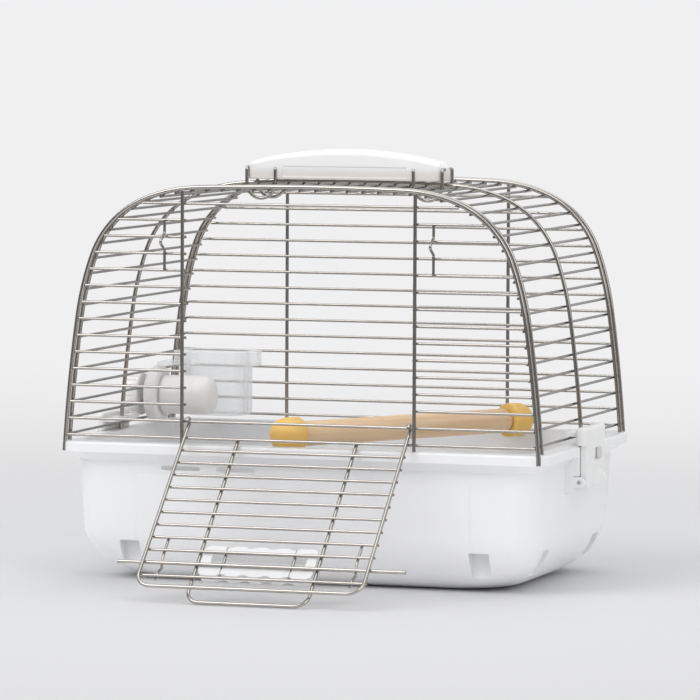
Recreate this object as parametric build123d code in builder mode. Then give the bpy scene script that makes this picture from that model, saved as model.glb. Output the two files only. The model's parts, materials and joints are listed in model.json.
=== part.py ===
from build123d import *
import os
from math import cos, hypot, radians, sin, sqrt

os.makedirs("parts", exist_ok=True)

# Bird travel carrier. X runs along the long side, Y from the door (front) to the back, Z up.
# The origin is the middle of the tub's underside. All sizes are in millimetres.

# ---------------------------------------------------------------- driving dimensions
# all pieces
cut_spare = 1.0
close_gap = 0.3

# tub
tub_rim_length = 366.6
tub_rim_width = 234.6
tub_height = 101.5
rim_overhang = 9.3
rim_corner_radius = 15.0
rim_plate_height = 5.0
rim_flare_height = 9.0
rim_edge_round = 2.0
tub_wall = 3.0
tub_floor = 3.0
tub_draft = 1.8
tub_corner_radius = 20.0
tub_bottom_round = 43.0
tub_corner_growth = 0.5
notch_width = 15.0
notch_top = 30.0
notch_inset = 16.0
front_notch_from_side = 42.5
side_notch_from_front = 43.0
vent_slot_length = 30.0
vent_slot_height = 3.5
vent_slot_depth_below_rim = 18.0
vent_slot_gap = 12.0
vent_slot_offset = 70.0

# cage wires
frame_wire = 3.0
row_wire = 2.0
bar_wire = 2.6
weld_gap = 0.05
cage_side_margin = 4.6
cage_end_margin = 4.0
small_bend = 2.0
row_pitch = 12.0
row_base_above_rim = 4.5
top_row = 14
door_sill_row = 1
body_arch_inset = 9.0
arch_base_angle = 4.0
arch_wall_radius = 1239.0
arch_wall_angle = 8.0
arch_flank_radius = 217.0
arch_flank_angle = 20.0
arch_shoulder_radius = 72.6
arch_shoulder_angle = 68.0
arch_roof_radius = 118.0
arch_roof_angle = 88.0
arch_wire_spaces = 26
roof_wires_per_half = 9
shoulder_wires_per_half = 8
handle_clip_space = 5.45
foot_depth = 7.0
doorway_half_width = 87.1
bar_rise = 8.0
stub_past_bar = 0.8
lowest_side_wire_rise = 1.0

# door
door_half_width = 83.0
door_wire = 2.6
door_lean = 46.6
door_row_spaces = 13
door_rows = [1, 2, 3, 4, 5, 6, 7, 8, 9, 10, 12]
door_length = 152.1
door_corner_radius = 11.0
stiffener_half_width = 44.5
stiffener_length = 161.0
stiffener_corner_radius = 10.0
stiffener_start = 10.7
hinge_clearance = 0.08
hook_wrap = 228.0

# latch
latch_wire = 2.6
latch_half_length = 106.0
latch_side_offset = 3.0
latch_row = 11
latch_travel = 4.0
guide_wire = 2.0
guide_rows_below = 2
guide_rows_above = 1
guide_half_spacing = 71.5
guide_bulge = 6.0
guide_bulge_reach = 8.0
guide_overlap = 2.0
pull_rows_below = 1
pull_half_length = 42.0
pull_end_width = 7.0
pull_bar_width = 8.0
pull_thickness = 7.0
pull_scallop_radius = 7.0
pull_scallop_pitch = 16.0
pull_scallop_depth = 1.6
pull_rod_gap = 0.15
pull_corner_radius = 5.0
pull_overlap = 1.0
link_end_cover = 1.0
link_wire = 2.0
link_half_spacing = 25.5
link_fit = 0.05
catch_wire = 2.0
catch_half_spacing = 100.7
catch_reach = 10.0
catch_top_row = 13
catch_bottom_row = 10

# handle
handle_half_length = 75.0
handle_width = 24.0
handle_end_height = 12.5
handle_middle_height = 22.3
handle_edge_round = 5.0
handle_end_round = 6.0
clip_wire = 2.5
clip_half_width = 11.0
clip_leg_depth = 8.6
clip_leg_bend = 2.0
clip_bore_depth = 6.0
clip_loop_drop = 14.0
clip_slot_fit = 0.05

# side clips
side_clip_half_width = 24.0
side_clip_hook_half_width = 28.0
side_clip_thickness = 4.0
side_clip_gap = 0.4
side_clip_hook_depth = 7.2
side_clip_hook_height = 13.0
side_clip_tongue_reach = 8.5
side_clip_tongue_thickness = 3.0
side_clip_pivot_below_rim = 26.0
side_clip_pin = 3.0
side_clip_pin_fit = 0.06
side_clip_knuckle = 8.0
side_clip_ear = 5.0
side_clip_window_width = 20.0
side_clip_window_height = 9.0
side_clip_window_drop = 3.0
side_clip_window_offset = 8.0
side_clip_round = 3.0
arch_notch_gap = 0.6
pin_end_gap = 0.5

# perch
perch_end_diameter = 14.5
perch_middle_diameter = 18.0
perch_cap_diameter = 25.0
perch_cap_length = 23.0
perch_socket_depth = 13.0
perch_cap_edge_round = 1.5
perch_neck = 4.0
perch_socket_fit = 0.08
perch_height = 3.0
perch_front_x = -14.9
perch_back_x = 100.8

# feeder
feeder_from_back = 68.3
feeder_axis_wire = 1
hub_diameter = 32.0
hub_length = 13.0
hub_end_wall = 3.0
hub_edge_round = 1.5
flange_diameter = 43.0
flange_length = 10.0
flange_edge_round = 3.0
clamp_screw = 7.0
screw_fit = 0.08
knob_diameter = 29.0
knob_length = 40.0
knob_nose_round = 8.0
knob_bore_depth = 14.0
cup_length = 52.0
cup_depth = 35.0
cup_height = 48.5
cup_wall = 2.0
cup_corner_radius = 15.0
cup_bottom_round = 5.0
cup_lip = 6.5
cup_lip_drop = 11.0
cup_from_arch_base = 47.2
cup_tongue_width = 12.0
cup_tongue_seat = 12.0
cup_tongue_reach = 8.0
cup_tongue_thickness = 3.0
cup_underside = 1.0

# ---------------------------------------------------------------- derived places
arch_base_half_width = tub_rim_length / 2 - cage_side_margin
front_y = -(tub_rim_width / 2 - cage_end_margin)
back_y = -front_y
arch_arcs = [
    (arch_wall_radius, arch_wall_angle),
    (arch_flank_radius, arch_flank_angle),
    (arch_shoulder_radius, arch_shoulder_angle),
    (arch_roof_radius, arch_roof_angle),
]
feeder_y = back_y - feeder_from_back
cup_x = cup_from_arch_base - arch_base_half_width
door_pitch = door_length / door_row_spaces
row_base = tub_height + row_base_above_rim
frame_r = frame_wire / 2
row_r = row_wire / 2
bar_r = bar_wire / 2
door_r = door_wire / 2
latch_r = latch_wire / 2
guide_r = guide_wire / 2
link_r = link_wire / 2
catch_r = catch_wire / 2
clip_r = clip_wire / 2

wall_half_x = tub_rim_length / 2 - rim_overhang
wall_half_y = tub_rim_width / 2 - rim_overhang
flare_base = tub_height - rim_plate_height - rim_flare_height
latch_distance = latch_row * door_pitch
cavity_half_x = wall_half_x - tub_wall
cavity_half_y = wall_half_y - tub_wall


def row_height(row: float) -> float:
    """Height of the middle of a row wire, counted up from the lowest."""
    return row_base + row_pitch * row


def arch_table() -> list:
    """Arcs of the arch's outer edge: centre x, centre z, radius, first and last normal angle."""
    arcs = []
    x, z, angle = arch_base_half_width, row_base, arch_base_angle
    for radius, end_angle in arch_arcs:
        centre_x = x - radius * cos(radians(angle))
        centre_z = z - radius * sin(radians(angle))
        arcs.append((centre_x, centre_z, radius, angle, end_angle))
        x = centre_x + radius * cos(radians(end_angle))
        z = centre_z + radius * sin(radians(end_angle))
        angle = end_angle
    crown_radius = x / cos(radians(angle))
    arcs.append((0.0, z - crown_radius * sin(radians(angle)), crown_radius, angle, 90.0))
    return arcs


arcs = arch_table()
crown_top = arcs[-1][1] + arcs[-1][2]


def arch_half_width(height: float, inset: float) -> float:
    """Half the width of the arch, inset from its outer edge, at a height."""
    for centre_x, centre_z, radius, first, last in arcs:
        r = radius - inset
        if height <= centre_z + r * sin(radians(last)):
            return centre_x + sqrt(r * r - (height - centre_z) ** 2)
    return 0.0


def arch_point(distance: float, inset: float) -> tuple:
    """Place on the inset arch at a distance along it from the middle of the crown."""
    left = distance
    for centre_x, centre_z, radius, first, last in reversed(arcs):
        r = radius - inset
        length = r * radians(last - first)
        if left <= length:
            angle = radians(last) - left / r
            return (centre_x + r * cos(angle), centre_z + r * sin(angle))
        left -= length
    centre_x, centre_z, radius, first, last = arcs[0]
    angle = radians(first)
    return (
        centre_x + (radius - inset) * cos(angle) + left * sin(angle),
        centre_z + (radius - inset) * sin(angle) - left * cos(angle),
    )


def arch_half_length(inset: float) -> float:
    """Length of half the inset arch, from its base to the middle of the crown."""
    return sum((radius - inset) * radians(last - first) for _, _, radius, first, last in arcs)


def sweep_wire(path: Curve, radius: float) -> None:
    """Round wire of a radius along a path."""
    with BuildSketch(path ^ 0) as section:
        Circle(radius)
    sweep(section.sketch, path=path)


def add_arch(y: float, foot: float) -> None:
    """One bent arch of frame wire in the plane at y, whose feet run down into the rim."""
    base = arch_point(arch_half_length(frame_r), frame_r)
    lean = radians(arch_base_angle)
    toe = (base[0] + foot * sin(lean), base[1] - foot * cos(lean))
    plane = Plane.XZ.offset(-y)
    with BuildLine(plane) as path:
        Line(toe, base)
        for centre_x, centre_z, radius, first, last in arcs[:-1]:
            CenterArc((centre_x, centre_z), radius - frame_r, first, last - first)
        centre_x, centre_z, radius, first, last = arcs[-1]
        CenterArc((centre_x, centre_z), radius - frame_r, first, 2 * (last - first))
        for centre_x, centre_z, radius, first, last in reversed(arcs[:-1]):
            CenterArc((-centre_x, centre_z), radius - frame_r, 180 - last, last - first)
        Line((-base[0], base[1]), (-toe[0], toe[1]))
    sweep_wire(path.line, frame_r)


def add_bent_wire(plane: Plane, points: list, bend: float, radius: float) -> None:
    """One wire bent round at the points, drawn on a plane."""
    with BuildLine(plane) as path:
        FilletPolyline(*points, radius=bend)
    sweep_wire(path.line, radius)


def add_x_wire(x0: float, x1: float, y: float, z: float, radius: float) -> None:
    """One straight wire along X."""
    with Locations(((x0 + x1) / 2, y, z)):
        Cylinder(radius, x1 - x0, rotation=(0, 90, 0))


def add_y_wire(x: float, y0: float, y1: float, z: float, radius: float) -> None:
    """One straight wire along Y."""
    with Locations((x, (y0 + y1) / 2, z)):
        Cylinder(radius, y1 - y0, rotation=(90, 0, 0))


def add_z_wire(x: float, y: float, z0: float, z1: float, radius: float) -> None:
    """One straight wire along Z."""
    with Locations((x, y, (z0 + z1) / 2)):
        Cylinder(radius, z1 - z0)


def save(builder: BuildPart, name: str) -> None:
    """Label a finished piece and write it as STEP."""
    builder.part.label = name
    export_step(builder.part, f"parts/{name}.step")


# ---------------------------------------------------------------- tub
rim_top = tub_height
arch_foot_top = rim_top - foot_depth
foot_toe = row_base - arch_foot_top
foot_base = arch_point(arch_half_length(frame_r), frame_r)
foot_x = foot_base[0] + (foot_toe - foot_depth / 2) * sin(radians(arch_base_angle))
arch_planes = [front_y, front_y + body_arch_inset, 0.0, back_y - body_arch_inset, back_y]
plate_inner = tub_rim_length / 2 + side_clip_gap
plate_outer = plate_inner + side_clip_thickness
clip_pivot_x = plate_inner
clip_pivot_z = rim_top - side_clip_pivot_below_rim
ear_inner = side_clip_half_width + side_clip_gap
ear_outer = ear_inner + side_clip_ear
ear_r = side_clip_knuckle / 2
boss_face = clip_pivot_x - ear_r - side_clip_gap
boss_bottom = clip_pivot_z - 2 * ear_r
boss_brow = tub_rim_length / 2
brow_bottom = clip_pivot_z + ear_r + side_clip_gap
brow_top = rim_top - rim_plate_height
vent_z = rim_top - vent_slot_depth_below_rim
bottom_steps = [90.0, 67.5, 45.0, 22.5, 0.0]


def bowl_section(half_x: float, half_y: float, corner: float, z: float, inset: float) -> Sketch:
    """Rounded outline on one level, drawn in from the wall, with a corner that grows."""
    with BuildSketch(Plane.XY.offset(z)) as level:
        RectangleRounded(
            2 * (half_x - inset),
            2 * (half_y - inset),
            corner + tub_corner_growth * inset,
        )
    return level.sketch


def add_bowl(half_x: float, half_y: float, corner: float, floor: float, turn: float) -> None:
    """A bowl from the flare's level down to a flat floor, its edge turned in by a radius."""
    levels = [
        (
            floor + turn * (1 - sin(radians(step))),
            tub_draft + turn * (1 - cos(radians(step))),
        )
        for step in reversed(bottom_steps)
    ]
    wall = [
        bowl_section(half_x, half_y, corner, flare_base, 0.0),
        bowl_section(half_x, half_y, corner, *levels[0]),
    ]
    loft(wall)
    loft([bowl_section(half_x, half_y, corner, z, inset) for z, inset in levels])


def add_notches(wall: float, mode: Mode) -> None:
    """The eight upright notches low in the walls, grown by a wall thickness."""
    width = notch_width + 2 * wall
    height = notch_top + wall
    depth = notch_inset + wall + cut_spare
    for side_x in (-1, 1):
        for side_y in (-1, 1):
            front_x = side_x * (wall_half_x - front_notch_from_side)
            front_y_mid = side_y * (wall_half_y + cut_spare - depth / 2)
            with Locations((front_x, front_y_mid, height / 2)):
                Box(width, depth, height, mode=mode)
            side_x_mid = side_x * (wall_half_x + cut_spare - depth / 2)
            side_y_mid = side_y * (wall_half_y - side_notch_from_front)
            with Locations((side_x_mid, side_y_mid, height / 2)):
                Box(depth, width, height, mode=mode)


with BuildPart() as cavity:
    add_bowl(
        cavity_half_x,
        cavity_half_y,
        tub_corner_radius - tub_wall,
        tub_floor,
        tub_bottom_round - tub_floor,
    )
    add_notches(tub_wall, Mode.SUBTRACT)

with BuildPart() as base_tub:
    add_bowl(wall_half_x, wall_half_y, tub_corner_radius, 0.0, tub_bottom_round)
    with BuildSketch(Plane.XY.offset(flare_base)) as flare_low:
        RectangleRounded(2 * wall_half_x, 2 * wall_half_y, tub_corner_radius)
    with BuildSketch(Plane.XY.offset(flare_base + rim_flare_height)) as flare_high:
        RectangleRounded(tub_rim_length, tub_rim_width, rim_corner_radius)
    loft([flare_low.sketch, flare_high.sketch])
    extrude(flare_high.sketch, amount=rim_plate_height)
    fillet(base_tub.faces().sort_by(Axis.Z)[-1].edges(), rim_edge_round)
    for side_x in (-1, 1):
        for side_y in (-1, 1):
            ear_y = side_y * (ear_inner + side_clip_ear / 2)
            with BuildSketch(Plane.XZ.offset(-ear_y)):
                with Locations((side_x * clip_pivot_x, clip_pivot_z)):
                    Circle(ear_r)
                with Locations((side_x * (clip_pivot_x + cavity_half_x) / 2, clip_pivot_z)):
                    Rectangle(clip_pivot_x - cavity_half_x, 2 * ear_r)
            extrude(amount=side_clip_ear / 2, both=True)
        with Locations((side_x * (cavity_half_x + boss_face) / 2, 0, (boss_bottom + flare_base) / 2)):
            Box(boss_face - cavity_half_x, 2 * ear_outer, flare_base - boss_bottom)
        with Locations((side_x * (cavity_half_x + boss_brow) / 2, 0, (brow_bottom + brow_top) / 2)):
            Box(boss_brow - cavity_half_x, 2 * ear_outer, brow_top - brow_bottom)
    with BuildSketch(Plane.XY.offset(rim_top)):
        RectangleRounded(2 * cavity_half_x, 2 * cavity_half_y, tub_corner_radius - tub_wall)
    extrude(amount=-(rim_top - flare_base), mode=Mode.SUBTRACT)
    add(cavity.part, mode=Mode.SUBTRACT)
    add_notches(0.0, Mode.SUBTRACT)
    for side_x in (-1, 1):
        with Locations((side_x * clip_pivot_x, 0, clip_pivot_z)):
            Cylinder(
                side_clip_pin / 2 + side_clip_pin_fit,
                2 * (ear_outer + cut_spare),
                rotation=(90, 0, 0),
                mode=Mode.SUBTRACT,
            )
        for plane_y in arch_planes:
            with Locations((side_x * foot_x, plane_y, rim_top)):
                Cylinder(
                    frame_r + close_gap,
                    2 * (foot_depth + close_gap),
                    mode=Mode.SUBTRACT,
                )
    for slot in (-1, 1):
        slot_x = -vent_slot_offset + slot * (vent_slot_length + vent_slot_gap) / 2
        with BuildSketch(Plane.XZ.offset(wall_half_y)):
            with Locations((slot_x, vent_z)):
                SlotOverall(vent_slot_length, vent_slot_height)
        extrude(amount=3 * tub_wall, both=True, mode=Mode.SUBTRACT)
save(base_tub, "base_tub")

# ---------------------------------------------------------------- cage arches
arch_names = [
    "front_frame_arch",
    "front_body_arch",
    "middle_arch",
    "back_body_arch",
    "back_frame_arch",
]
for arch_name, plane_y in zip(arch_names, arch_planes):
    with BuildPart() as cage_arch:
        add_arch(plane_y, foot_toe)
    save(cage_arch, arch_name)

# ---------------------------------------------------------------- front and back panels
row_inset = frame_wire + weld_gap
bar_y = front_y - row_r - bar_r - weld_gap
stub_end = doorway_half_width - bar_r - stub_past_bar
bar_top = row_height(top_row) + row_r + bar_rise
bar_bottom = rim_top + close_gap


def row_end(row: int) -> float:
    """Distance from the middle to the arch's inner side at the top of a row wire."""
    return arch_half_width(row_height(row) + row_r, row_inset)


def add_row(row: int, y: float) -> None:
    """One full row wire, from arch to arch."""
    add_x_wire(-row_end(row), row_end(row), y, row_height(row), row_r)


with BuildPart() as front_sill_rows:
    for row in range(door_sill_row + 1):
        add_row(row, front_y)
save(front_sill_rows, "front_sill_rows")

with BuildPart() as front_top_row:
    add_row(top_row, front_y)
save(front_top_row, "front_top_row")

for side_x, side_name in ((-1, "left"), (1, "right")):
    with BuildPart() as front_rows:
        for row in range(door_sill_row + 1, top_row):
            ends = sorted((side_x * stub_end, side_x * row_end(row)))
            add_x_wire(ends[0], ends[1], front_y, row_height(row), row_r)
    save(front_rows, f"{side_name}_front_rows")

with BuildPart() as doorway_bars:
    for side_x in (-1, 1):
        bar_x = side_x * doorway_half_width
        add_z_wire(bar_x, bar_y, bar_bottom, bar_top, bar_r)
save(doorway_bars, "doorway_bars")

with BuildPart() as back_rows:
    for row in range(top_row + 1):
        add_row(row, back_y)
save(back_rows, "back_row_wires")

with BuildPart() as back_bars:
    for side_x in (-1, 1):
        bar_x = side_x * doorway_half_width
        add_z_wire(bar_x, -bar_y, bar_bottom, bar_top, bar_r)
save(back_bars, "back_panel_bars")

# ---------------------------------------------------------------- side and roof wires
side_inset = frame_wire + row_r + weld_gap
lowest_rise = lowest_side_wire_rise
side_run = arch_half_length(side_inset) - lowest_rise
side_pitch = side_run / arch_wire_spaces
side_places = [arch_point(i * side_pitch, side_inset) for i in range(1, arch_wire_spaces + 1)]
shoulder_end = roof_wires_per_half + shoulder_wires_per_half
side_y0 = front_y + row_r + weld_gap
side_y1 = back_y - row_r - weld_gap

with BuildPart() as roof_wires:
    add_y_wire(0.0, side_y0, side_y1, crown_top - side_inset, row_r)
    for x, z in side_places[:roof_wires_per_half]:
        for side_x in (-1, 1):
            add_y_wire(side_x * x, side_y0, side_y1, z, row_r)
save(roof_wires, "roof_wires")

for side_x, side_name in ((-1, "left"), (1, "right")):
    for group, group_name in (
        (side_places[roof_wires_per_half:shoulder_end], "shoulder"),
        (side_places[shoulder_end:], "side"),
    ):
        with BuildPart() as side_wires:
            for x, z in group:
                add_y_wire(side_x * x, side_y0, side_y1, z, row_r)
        save(side_wires, f"{side_name}_{group_name}_wires")

# ---------------------------------------------------------------- door catches
catch_y = front_y - row_r - catch_r - weld_gap
catch_mid = row_height(door_sill_row) + latch_distance
catch_half_gap = row_pitch / 2

for side_x, side_name in ((-1, "left"), (1, "right")):
    with BuildPart() as door_catch:
        add_bent_wire(
            Plane.YZ.offset(side_x * catch_half_spacing),
            [
                (catch_y, row_height(catch_bottom_row)),
                (catch_y, catch_mid - catch_half_gap),
                (catch_y - catch_reach, catch_mid),
                (catch_y, catch_mid + catch_half_gap),
                (catch_y, row_height(catch_top_row)),
            ],
            small_bend,
            catch_r,
        )
    save(door_catch, f"{side_name}_door_catch")

# ---------------------------------------------------------------- door
layer = latch_r + door_r + weld_gap
hook_radius = row_r + door_r + hinge_clearance
axis_offset = hook_radius + layer
lean = radians(door_lean)
hinge_y = front_y
hinge_z = row_height(door_sill_row)
outward = (0.0, cos(lean), -sin(lean))
door_origin = (0.0, hinge_y + axis_offset * outward[1], hinge_z + axis_offset * outward[2])
door_plane = Plane(origin=door_origin, x_dir=(1, 0, 0), z_dir=outward)


def door_side_plane(x: float) -> Plane:
    """Plane across the door at x: its x runs down the door, its y towards the outer face."""
    origin = door_plane.from_local_coords(Vector(x, 0, 0))
    return Plane(origin=origin, x_dir=door_plane.y_dir, z_dir=(1, 0, 0))


def add_hook(plane: Plane) -> None:
    """The eye at the end of a door side wire, wrapped round the sill row."""
    with BuildLine(plane) as path:
        CenterArc((0, -axis_offset), hook_radius, 90, hook_wrap)
    sweep_wire(path.line, door_r)


with BuildPart() as door_frame:
    door_u = [
        (-door_half_width, 0),
        (-door_half_width, door_length),
        (door_half_width, door_length),
        (door_half_width, 0),
    ]
    add_bent_wire(door_plane.offset(-layer), door_u, door_corner_radius, door_r)
    for side_x in (-1, 1):
        add_hook(door_side_plane(side_x * door_half_width))
save(door_frame, "door_frame")

with BuildPart() as door_stiffener:
    stiffener_u = [
        (-stiffener_half_width, stiffener_start),
        (-stiffener_half_width, stiffener_length),
        (stiffener_half_width, stiffener_length),
        (stiffener_half_width, stiffener_start),
    ]
    add_bent_wire(door_plane.offset(layer), stiffener_u, stiffener_corner_radius, door_r)
save(door_stiffener, "door_stiffener")

with BuildPart() as door_row_wires:
    for row in door_rows:
        row_origin = door_plane.from_local_coords(Vector(0, row * door_pitch, 0))
        row_half = door_half_width + door_r
        add_x_wire(-row_half, row_half, row_origin.Y, row_origin.Z, row_r)
save(door_row_wires, "door_row_wires")

guide_layer = row_r + guide_r + weld_gap
guide_start = (latch_row - guide_rows_below) * door_pitch - guide_overlap
guide_end = (latch_row + guide_rows_above) * door_pitch + guide_overlap
with BuildPart() as latch_guides:
    for side_x in (-1, 1):
        guide_points = [
            (guide_start, guide_layer),
            (latch_distance - guide_bulge_reach, guide_layer),
            (latch_distance, guide_bulge),
            (latch_distance + guide_bulge_reach, guide_layer),
            (guide_end, guide_layer),
        ]
        guide_plane = door_side_plane(side_x * guide_half_spacing)
        add_bent_wire(guide_plane, guide_points, small_bend, guide_r)
save(latch_guides, "latch_guides")

# ---------------------------------------------------------------- latch
latch_origin = door_plane.from_local_coords(Vector(0, latch_distance, 0))
with BuildPart() as latch_rod:
    add_x_wire(
        latch_side_offset - latch_half_length,
        latch_side_offset + latch_half_length,
        latch_origin.Y,
        latch_origin.Z,
        latch_r,
    )
save(latch_rod, "latch_rod")

link_layer = latch_r + link_r + weld_gap
pull_inner = latch_r + pull_rod_gap
pull_start = (latch_row - pull_rows_below) * door_pitch - pull_bar_width + pull_overlap
pull_end = latch_distance + pull_overlap / 2 + pull_bar_width
pull_middle = (pull_start + pull_end) / 2
pull_window = pull_end - pull_start - 2 * pull_bar_width

def add_link(x: float, radius: float, spare: float, mode: Mode) -> None:
    """One straight link wire down the back of the pull, or its bore with spare length."""
    length = pull_end - pull_start - 2 * link_end_cover + 2 * spare
    place = door_plane.from_local_coords(Vector(x, pull_middle, link_layer))
    with Locations(Plane(origin=place, x_dir=(1, 0, 0), z_dir=door_plane.y_dir)):
        Cylinder(radius, length, mode=mode)


with BuildPart() as pull_links:
    for side_x in (-1, 1):
        add_link(side_x * link_half_spacing, link_r, 0.0, Mode.ADD)
save(pull_links, "pull_link_wires")

with BuildPart() as latch_pull:
    with BuildSketch(door_plane.offset(pull_inner)):
        with Locations((0, pull_middle)):
            RectangleRounded(2 * pull_half_length, pull_end - pull_start, pull_corner_radius)
            Rectangle(2 * (pull_half_length - pull_end_width), pull_window, mode=Mode.SUBTRACT)
        for edge, reach in ((pull_start, -1), (pull_end, 1)):
            scallop_y = edge + reach * (pull_scallop_radius - pull_scallop_depth)
            with Locations((0, scallop_y)):
                with GridLocations(pull_scallop_pitch, 1, 4, 1):
                    Circle(pull_scallop_radius, mode=Mode.SUBTRACT)
    extrude(amount=pull_thickness)
    for side_x in (-1, 1):
        add_link(side_x * link_half_spacing, link_r + link_fit, link_fit, Mode.SUBTRACT)
save(latch_pull, "latch_pull")

# ---------------------------------------------------------------- handle
handle_bottom = crown_top + close_gap
handle_shoulder = handle_bottom + handle_end_height - handle_end_round / 2
handle_top_middle = handle_bottom + handle_middle_height
clip_x = handle_clip_space * side_pitch
clip_y = handle_width / 2
loop_z = handle_bottom - clip_loop_drop + clip_half_width
leg_top = handle_bottom + clip_leg_depth


def add_handle_clip(side_x: float, side_y: float, radius: float, mode: Mode) -> None:
    """One wire loop: out of the grip's face, down, round under the roof wires and back."""
    left = side_x * clip_x - clip_half_width
    right = side_x * clip_x + clip_half_width
    inner = side_y * (clip_y - clip_bore_depth)
    outer = side_y * clip_y
    with BuildLine() as path:
        FilletPolyline(
            (left, inner, leg_top),
            (left, outer, leg_top),
            (left, outer, loop_z),
            radius=clip_leg_bend,
        )
        ThreePointArc(
            (left, outer, loop_z),
            (side_x * clip_x, outer, loop_z - clip_half_width),
            (right, outer, loop_z),
        )
        FilletPolyline(
            (right, outer, loop_z),
            (right, outer, leg_top),
            (right, inner, leg_top),
            radius=clip_leg_bend,
        )
    with BuildSketch(path.line ^ 0) as section:
        Circle(radius)
    sweep(section.sketch, path=path.line, mode=mode)


with BuildPart() as handle_grip:
    with BuildSketch(Plane.XZ):
        with BuildLine():
            Polyline(
                (-handle_half_length, handle_shoulder),
                (-handle_half_length, handle_bottom),
                (handle_half_length, handle_bottom),
                (handle_half_length, handle_shoulder),
            )
            ThreePointArc(
                (handle_half_length, handle_shoulder),
                (0, handle_top_middle),
                (-handle_half_length, handle_shoulder),
            )
        make_face()
    extrude(amount=handle_width / 2, both=True)
    fillet(handle_grip.edges().filter_by(Axis.Y).group_by(Axis.Z)[-1], handle_end_round)
    top_face = handle_grip.faces().sort_by(Axis.Z)[-1]
    fillet(top_face.edges().filter_by(GeomType.CIRCLE), handle_edge_round)
    for side_x in (-1, 1):
        for side_y in (-1, 1):
            add_handle_clip(side_x, side_y, clip_r + clip_slot_fit, Mode.SUBTRACT)
            for leg in (-1, 1):
                bore_x = side_x * clip_x + leg * clip_half_width
                bore_y = side_y * (clip_y - clip_bore_depth)
                with Locations((bore_x, bore_y, leg_top)):
                    Cylinder(
                        clip_r + clip_slot_fit,
                        2 * clip_slot_fit,
                        rotation=(90, 0, 0),
                        mode=Mode.SUBTRACT,
                    )
save(handle_grip, "handle_grip")

for side_x, side_name in ((-1, "left"), (1, "right")):
    with BuildPart() as handle_clips:
        for side_y in (-1, 1):
            add_handle_clip(side_x, side_y, clip_r, Mode.ADD)
    save(handle_clips, f"{side_name}_handle_clip")

# ---------------------------------------------------------------- side clips
lowest_x, lowest_z = side_places[-1]
hook_bottom = rim_top + close_gap
hook_top = hook_bottom + side_clip_hook_height
hook_inner = plate_outer - side_clip_hook_depth
tongue_bottom = lowest_z + row_r + close_gap
tongue_inner = hook_inner - side_clip_tongue_reach
plate_bottom = clip_pivot_z - ear_r
clip_window_z = rim_top - side_clip_window_drop - side_clip_window_height / 2
arch_notch_x = arch_half_width(row_base, 0) + cut_spare

for side_x, side_name in ((-1, "left"), (1, "right")):
    with BuildPart() as side_clip:
        plate_mid = side_x * (plate_inner + plate_outer) / 2
        with Locations((plate_mid, 0, (plate_bottom + hook_top) / 2)):
            Box(side_clip_thickness, 2 * side_clip_half_width, hook_top - plate_bottom)
        with Locations((side_x * (plate_outer + hook_inner) / 2, 0, (hook_bottom + hook_top) / 2)):
            Box(side_clip_hook_depth, 2 * side_clip_hook_half_width, side_clip_hook_height)
        fillet(side_clip.edges().filter_by(Axis.Y).group_by(Axis.Z)[-1], side_clip_round)
        fillet(side_clip.edges().filter_by(Axis.X).group_by(Axis.Z)[-1], side_clip_round)
        tongue_mid_z = tongue_bottom + side_clip_tongue_thickness / 2
        with Locations((side_x * (tongue_inner + plate_inner) / 2, 0, tongue_mid_z)):
            Box(
                plate_inner - tongue_inner,
                2 * (side_clip_hook_half_width - side_clip_round),
                side_clip_tongue_thickness,
            )
        with Locations((side_x * clip_pivot_x, 0, clip_pivot_z)):
            Cylinder(ear_r, 2 * side_clip_half_width, rotation=(90, 0, 0))
            Cylinder(
                side_clip_pin / 2 + side_clip_pin_fit,
                2 * (side_clip_half_width + cut_spare),
                rotation=(90, 0, 0),
                mode=Mode.SUBTRACT,
            )
        with Locations((plate_mid, side_clip_window_offset, clip_window_z)):
            Box(
                3 * side_clip_thickness,
                side_clip_window_width,
                side_clip_window_height,
                mode=Mode.SUBTRACT,
            )
        with Locations((side_x * (arch_notch_x + tongue_inner - cut_spare) / 2, 0, tongue_mid_z)):
            Box(
                arch_notch_x - tongue_inner + cut_spare,
                frame_wire + 2 * arch_notch_gap,
                2 * side_clip_tongue_thickness,
                mode=Mode.SUBTRACT,
            )
    save(side_clip, f"{side_name}_side_clip")

    with BuildPart() as clip_pin:
        with Locations((side_x * clip_pivot_x, 0, clip_pivot_z)):
            Cylinder(side_clip_pin / 2, 2 * (ear_outer - pin_end_gap), rotation=(90, 0, 0))
    save(clip_pin, f"{side_name}_clip_pin")

# ---------------------------------------------------------------- perch
perch_z = row_base + perch_height
cap_r = perch_cap_diameter / 2
cap_back_off = sqrt((cap_r + close_gap) ** 2 - (perch_z - rim_top) ** 2)
perch_front = (perch_front_x, -cavity_half_y + cap_back_off, perch_z)
perch_back = (perch_back_x, cavity_half_y - cap_back_off, perch_z)
perch_dx = perch_back[0] - perch_front[0]
perch_dy = perch_back[1] - perch_front[1]
perch_span = hypot(perch_dx, perch_dy)
perch_dir = (perch_dx / perch_span, perch_dy / perch_span, 0.0)
perch_turn = Plane(origin=perch_front, x_dir=perch_dir, z_dir=(perch_dir[1], -perch_dir[0], 0.0))
cap_open = perch_cap_length - cap_r
dowel_start = cap_open - perch_socket_depth
dowel_end = perch_span - dowel_start

neck_start = cap_open + perch_neck
perch_end_r = perch_end_diameter / 2
socket_r = perch_end_r + perch_socket_fit
socket_floor = dowel_start - perch_socket_fit
edge_mid = perch_cap_edge_round * (1 - cos(radians(45)))

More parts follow.
